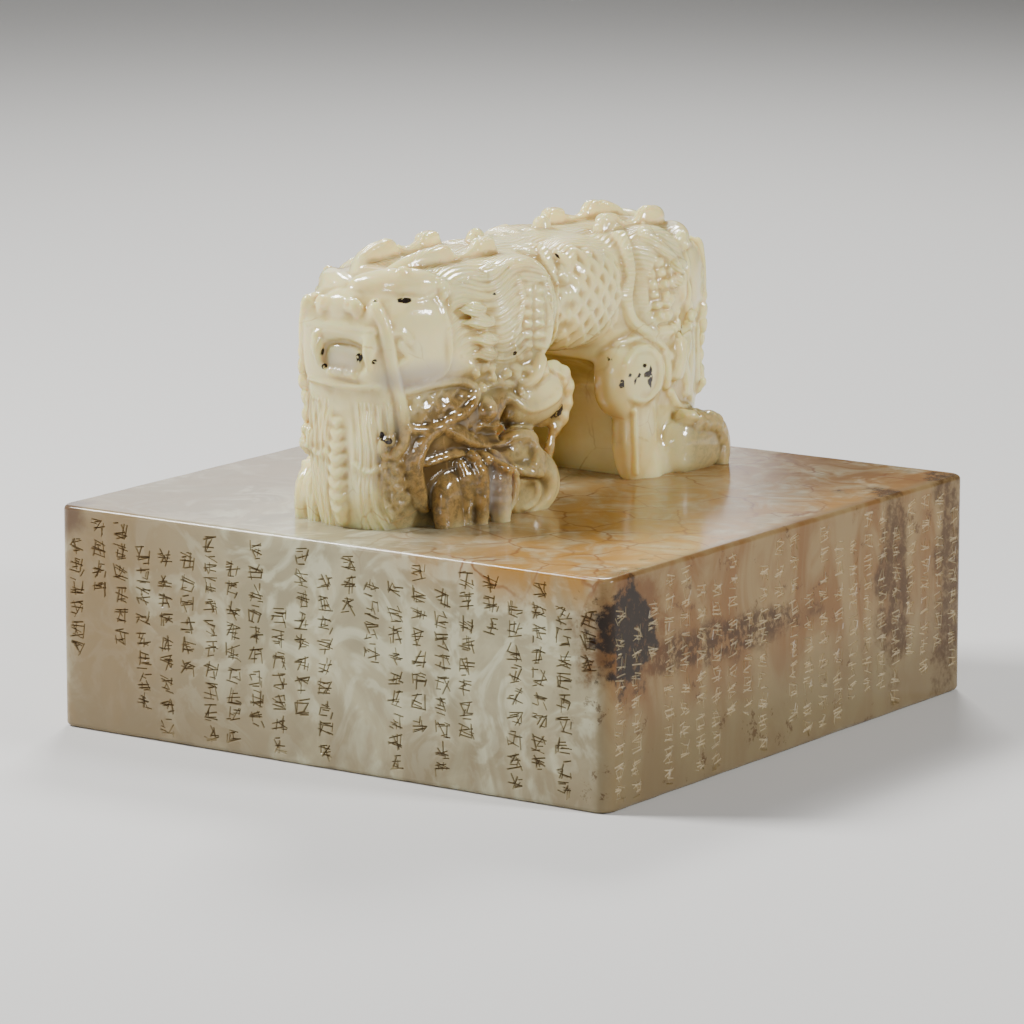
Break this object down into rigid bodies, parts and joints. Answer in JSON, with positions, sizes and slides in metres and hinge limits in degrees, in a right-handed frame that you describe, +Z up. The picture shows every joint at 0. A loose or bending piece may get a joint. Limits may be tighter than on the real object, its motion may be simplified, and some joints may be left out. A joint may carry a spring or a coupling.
{
  "type": "jade seal stamp",
  "caption": "Square seal block of pale veined jade with a pair of crouching dragons carved from its top as a grip, an open way under them for a cord, and a sunk printing face below.",
  "frame": {"origin": "centre of the underside of the block, on the plane that the seal stands on", "axes": "+Z up through the knop, +Y along the knop towards the dragon that faces away, +X to its side"},
  "size_m": [0.104, 0.104, 0.0797],
  "materials": {
    "jade": "polished, waxy and slightly see-through, with brown veins and stains"
  },
  "bodies": {
    "root": {"jade_seal": "jade"}
  },
  "joints": []
}
